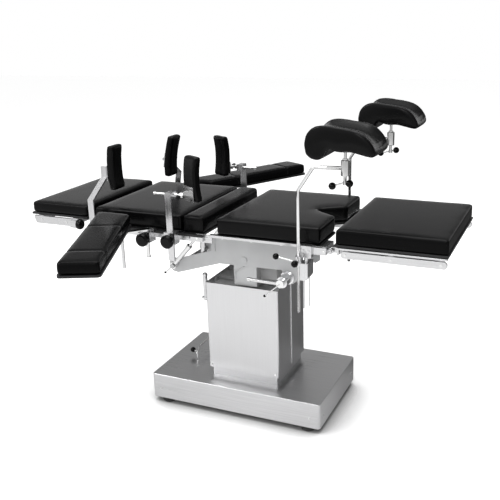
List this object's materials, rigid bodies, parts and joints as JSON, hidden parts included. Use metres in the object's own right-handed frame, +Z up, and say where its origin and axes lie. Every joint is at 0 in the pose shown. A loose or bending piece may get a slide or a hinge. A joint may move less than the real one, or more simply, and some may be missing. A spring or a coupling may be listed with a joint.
{
  "type": "operating table",
  "caption": "Sectioned operating table on a lifting column, with side rails, arm boards, shoulder and body supports and knee-crutch leg holders.",
  "frame": {"origin": "on the floor, under the middle of the base", "axes": "+X to the leg end, -Y to the near side of the picture, +Z up"},
  "size_m": [1.655, 1.6729, 1.1804],
  "materials": {
    "stainless_panel": "satin brushed stainless sheet",
    "frame_enamel": "light grey enamel, semi gloss",
    "inner_steel": "dark grey primer",
    "bright_chrome": "polished plate",
    "section_steel": "ground stainless",
    "black_pad": "black leathercloth, soft sheen",
    "black_knob": "glossy black moulded plastic",
    "foot_rubber": "black rubber"
  },
  "bodies": {
    "base": {"base_cover": "stainless_panel", "base_frame": "inner_steel", "base_feet": "foot_rubber"},
    "release": {"release_lever": "bright_chrome"},
    "lift": {"lift_head": "frame_enamel", "column_skirt": "stainless_panel"},
    "roll": {"roll_saddle": "frame_enamel"},
    "table": {"side_frame": "frame_enamel", "seat_frame": "section_steel", "seat_pad": "black_pad", "holder_clamp_near": "section_steel", "holder_clamp_far": "section_steel"},
    "crank": {"crank_handle": "bright_chrome"},
    "back": {"back_frame": "section_steel", "back_pad": "black_pad"},
    "kidney": {"kidney_bridge": "section_steel", "kidney_pad": "black_pad"},
    "head": {"head_frame": "section_steel", "head_pad": "black_pad"},
    "head_knob": {"head_knob": "black_knob"},
    "leg": {"leg_frame": "section_steel", "leg_pad": "black_pad"},
    "strut_barrel_near": {"strut_barrel_near": "section_steel"},
    "strut_rod_near": {"strut_rod_near": "bright_chrome"},
    "arm_clamp_near": {"arm_clamp_near": "section_steel"},
    "arm_knob_near": {"arm_knob_near": "black_knob"},
    "arm_link_near": {"arm_link_near": "bright_chrome"},
    "arm_board_near": {"arm_board_near": "section_steel", "arm_pad_near": "black_pad"},
    "shoulder_clamp_near": {"shoulder_clamp_near": "section_steel"},
    "shoulder_rest_near": {"shoulder_bracket_near": "section_steel", "shoulder_pad_near": "black_pad"},
    "body_clamp_near": {"body_clamp_near": "section_steel"},
    "body_knob_near": {"body_knob_near": "black_knob"},
    "body_bar_near": {"body_bar_near": "section_steel"},
    "body_rest_near": {"body_swivel_near": "bright_chrome", "body_pad_near": "black_pad"},
    "holder_lever_near": {"holder_lever_near": "black_knob"},
    "holder_rod_near": {"holder_rod_near": "bright_chrome"},
    "holder_saddle_near": {"holder_stem_near": "bright_chrome", "holder_pad_near": "black_pad"},
    "strut_barrel_far": {"strut_barrel_far": "section_steel"},
    "strut_rod_far": {"strut_rod_far": "bright_chrome"},
    "arm_clamp_far": {"arm_clamp_far": "section_steel"},
    "arm_knob_far": {"arm_knob_far": "black_knob"},
    "arm_link_far": {"arm_link_far": "bright_chrome"},
    "arm_board_far": {"arm_board_far": "section_steel", "arm_pad_far": "black_pad"},
    "shoulder_clamp_far": {"shoulder_clamp_far": "section_steel"},
    "shoulder_rest_far": {"shoulder_bracket_far": "section_steel", "shoulder_pad_far": "black_pad"},
    "body_clamp_far": {"body_clamp_far": "section_steel"},
    "body_knob_far": {"body_knob_far": "black_knob"},
    "body_bar_far": {"body_bar_far": "section_steel"},
    "body_rest_far": {"body_swivel_far": "bright_chrome", "body_pad_far": "black_pad"},
    "holder_lever_far": {"holder_lever_far": "black_knob"},
    "holder_rod_far": {"holder_rod_far": "bright_chrome"},
    "holder_saddle_far": {"holder_stem_far": "bright_chrome", "holder_pad_far": "black_pad"}
  },
  "joints": [
    {"name": "release_turn", "type": "hinge", "parent": "base", "child": "release", "pos_m": [-0.25, 0.132, 0.172], "axis": [0, 1, 0], "range_deg": [-12, 12], "stiffness_Nm_per_rad": 0.4},
    {"name": "column_lift", "type": "slide", "parent": "base", "child": "lift", "axis": [0, 0, 1], "range_m": [0, 0.25]},
    {"name": "lateral_tilt", "type": "hinge", "parent": "lift", "child": "roll", "pos_m": [0.015, 0, 0.56], "axis": [1, 0, 0], "range_deg": [-10, 10]},
    {"name": "long_tilt", "type": "hinge", "parent": "roll", "child": "table", "pos_m": [0.028, 0, 0.625], "axis": [0, 1, 0], "range_deg": [-11, 11]},
    {"name": "crank_turn", "type": "hinge", "parent": "table", "child": "crank", "pos_m": [0.205, -0.2, 0.578], "axis": [0, 1, 0], "continuous": true},
    {"name": "back_fold", "type": "hinge", "parent": "table", "child": "back", "pos_m": [-0.1175, 0, 0.732], "axis": [0, 1, 0], "range_deg": [-10, 30]},
    {"name": "kidney_lift", "type": "slide", "parent": "back", "child": "kidney", "axis": [0, 0, 1], "range_m": [0, 0.026]},
    {"name": "head_fold", "type": "hinge", "parent": "back", "child": "head", "pos_m": [-0.568, 0, 0.736], "axis": [0, 1, 0], "range_deg": [-60, 20]},
    {"name": "head_lock_turn", "type": "hinge", "parent": "head", "child": "head_knob", "pos_m": [-0.615, -0.262, 0.742], "axis": [1, 0, 0], "continuous": true},
    {"name": "leg_fold", "type": "hinge", "parent": "table", "child": "leg", "pos_m": [0.402, 0, 0.732], "axis": [0, 1, 0], "range_deg": [-10, 90]},
    {"name": "strut_swing_near", "type": "hinge", "parent": "table", "child": "strut_barrel_near", "pos_m": [-0.272, -0.142, 0.574], "axis": [0, 1, 0], "range_deg": [-12, 3.5]},
    {"name": "strut_stroke_near", "type": "slide", "parent": "strut_barrel_near", "child": "strut_rod_near", "axis": [0.6533, 0, 0.7571], "range_m": [-0.006, 0.023]},
    {"name": "arm_clamp_slide_near", "type": "slide", "parent": "back", "child": "arm_clamp_near", "axis": [1, 0, 0], "range_m": [-0.01, 0.05]},
    {"name": "arm_knob_turn_near", "type": "hinge", "parent": "arm_clamp_near", "child": "arm_knob_near", "pos_m": [-0.29, -0.32, 0.729], "axis": [0, 1, 0], "continuous": true},
    {"name": "arm_link_swing_near", "type": "hinge", "parent": "arm_clamp_near", "child": "arm_link_near", "pos_m": [-0.29, -0.289, 0.7], "axis": [0, 0, 1], "range_deg": [-6, 6]},
    {"name": "arm_board_swing_near", "type": "hinge", "parent": "arm_link_near", "child": "arm_board_near", "pos_m": [-0.354, -0.36, 0.7], "axis": [0, 0, 1], "range_deg": [-5, 55]},
    {"name": "shoulder_clamp_slide_near", "type": "slide", "parent": "back", "child": "shoulder_clamp_near", "axis": [1, 0, 0], "range_m": [-0.002, 0.01]},
    {"name": "shoulder_tilt_near", "type": "hinge", "parent": "shoulder_clamp_near", "child": "shoulder_rest_near", "pos_m": [-0.531, -0.289, 0.738], "axis": [0, 1, 0], "range_deg": [-20, 15]},
    {"name": "body_clamp_slide_near", "type": "slide", "parent": "back", "child": "body_clamp_near", "axis": [1, 0, 0], "range_m": [-0.01, 0.04]},
    {"name": "body_knob_turn_near", "type": "hinge", "parent": "body_clamp_near", "child": "body_knob_near", "pos_m": [-0.185, -0.32, 0.732], "axis": [0, 1, 0], "continuous": true},
    {"name": "body_bar_slide_near", "type": "slide", "parent": "body_clamp_near", "child": "body_bar_near", "axis": [0, 0, 1], "range_m": [-0.015, 0.06]},
    {"name": "body_rest_swing_near", "type": "hinge", "parent": "body_bar_near", "child": "body_rest_near", "pos_m": [-0.19, -0.262, 0.893], "axis": [1, 0, 0], "range_deg": [-12, 25]},
    {"name": "holder_lever_turn_near", "type": "hinge", "parent": "table", "child": "holder_lever_near", "pos_m": [0.309, -0.31, 0.706], "axis": [0, 1, 0], "range_deg": [-45, 20]},
    {"name": "holder_rod_slide_near", "type": "slide", "parent": "table", "child": "holder_rod_near", "axis": [0, 0, 1], "range_m": [-0.15, 0.1]},
    {"name": "holder_saddle_swing_near", "type": "hinge", "parent": "holder_rod_near", "child": "holder_saddle_near", "pos_m": [0.47, -0.29, 1.03], "axis": [0, 0, 1], "range_deg": [-60, 60]},
    {"name": "strut_swing_far", "type": "hinge", "parent": "table", "child": "strut_barrel_far", "pos_m": [-0.272, 0.142, 0.574], "axis": [0, 1, 0], "range_deg": [-12, 3.5]},
    {"name": "strut_stroke_far", "type": "slide", "parent": "strut_barrel_far", "child": "strut_rod_far", "axis": [0.6533, 0, 0.7571], "range_m": [-0.006, 0.023]},
    {"name": "arm_clamp_slide_far", "type": "slide", "parent": "back", "child": "arm_clamp_far", "axis": [1, 0, 0], "range_m": [-0.008, 0.05]},
    {"name": "arm_knob_turn_far", "type": "hinge", "parent": "arm_clamp_far", "child": "arm_knob_far", "pos_m": [-0.29, 0.32, 0.729], "axis": [0, 1, 0], "continuous": true},
    {"name": "arm_link_swing_far", "type": "hinge", "parent": "arm_clamp_far", "child": "arm_link_far", "pos_m": [-0.29, 0.289, 0.7], "axis": [0, 0, 1], "range_deg": [-6, 6]},
    {"name": "arm_board_swing_far", "type": "hinge", "parent": "arm_link_far", "child": "arm_board_far", "pos_m": [-0.354, 0.36, 0.7], "axis": [0, 0, 1], "range_deg": [-55, 5]},
    {"name": "shoulder_clamp_slide_far", "type": "slide", "parent": "back", "child": "shoulder_clamp_far", "axis": [1, 0, 0], "range_m": [-0.03, 0.007]},
    {"name": "shoulder_tilt_far", "type": "hinge", "parent": "shoulder_clamp_far", "child": "shoulder_rest_far", "pos_m": [-0.495, 0.289, 0.738], "axis": [0, 1, 0], "range_deg": [-20, 8]},
    {"name": "body_clamp_slide_far", "type": "slide", "parent": "back", "child": "body_clamp_far", "axis": [1, 0, 0], "range_m": [-0.04, 0.01]},
    {"name": "body_knob_turn_far", "type": "hinge", "parent": "body_clamp_far", "child": "body_knob_far", "pos_m": [-0.165, 0.32, 0.732], "axis": [0, 1, 0], "continuous": true},
    {"name": "body_bar_slide_far", "type": "slide", "parent": "body_clamp_far", "child": "body_bar_far", "axis": [0, 0, 1], "range_m": [-0.015, 0.06]},
    {"name": "body_rest_swing_far", "type": "hinge", "parent": "body_bar_far", "child": "body_rest_far", "pos_m": [-0.16, 0.262, 0.893], "axis": [1, 0, 0], "range_deg": [-25, 12]},
    {"name": "holder_lever_turn_far", "type": "hinge", "parent": "table", "child": "holder_lever_far", "pos_m": [0.309, 0.31, 0.706], "axis": [0, 1, 0], "range_deg": [-45, 20]},
    {"name": "holder_rod_slide_far", "type": "slide", "parent": "table", "child": "holder_rod_far", "axis": [0, 0, 1], "range_m": [-0.15, 0.1]},
    {"name": "holder_saddle_swing_far", "type": "hinge", "parent": "holder_rod_far", "child": "holder_saddle_far", "pos_m": [0.47, 0.29, 1.03], "axis": [0, 0, 1], "range_deg": [-60, 60]}
  ],
  "couplings": [
    {"joint": "strut_swing_near", "follows": "back_fold", "ratio": -0.2928},
    {"joint": "strut_stroke_near", "follows": "back_fold", "m_per_rad": 0.03083},
    {"joint": "strut_swing_far", "follows": "back_fold", "ratio": -0.2928},
    {"joint": "strut_stroke_far", "follows": "back_fold", "m_per_rad": 0.03083}
  ]
}
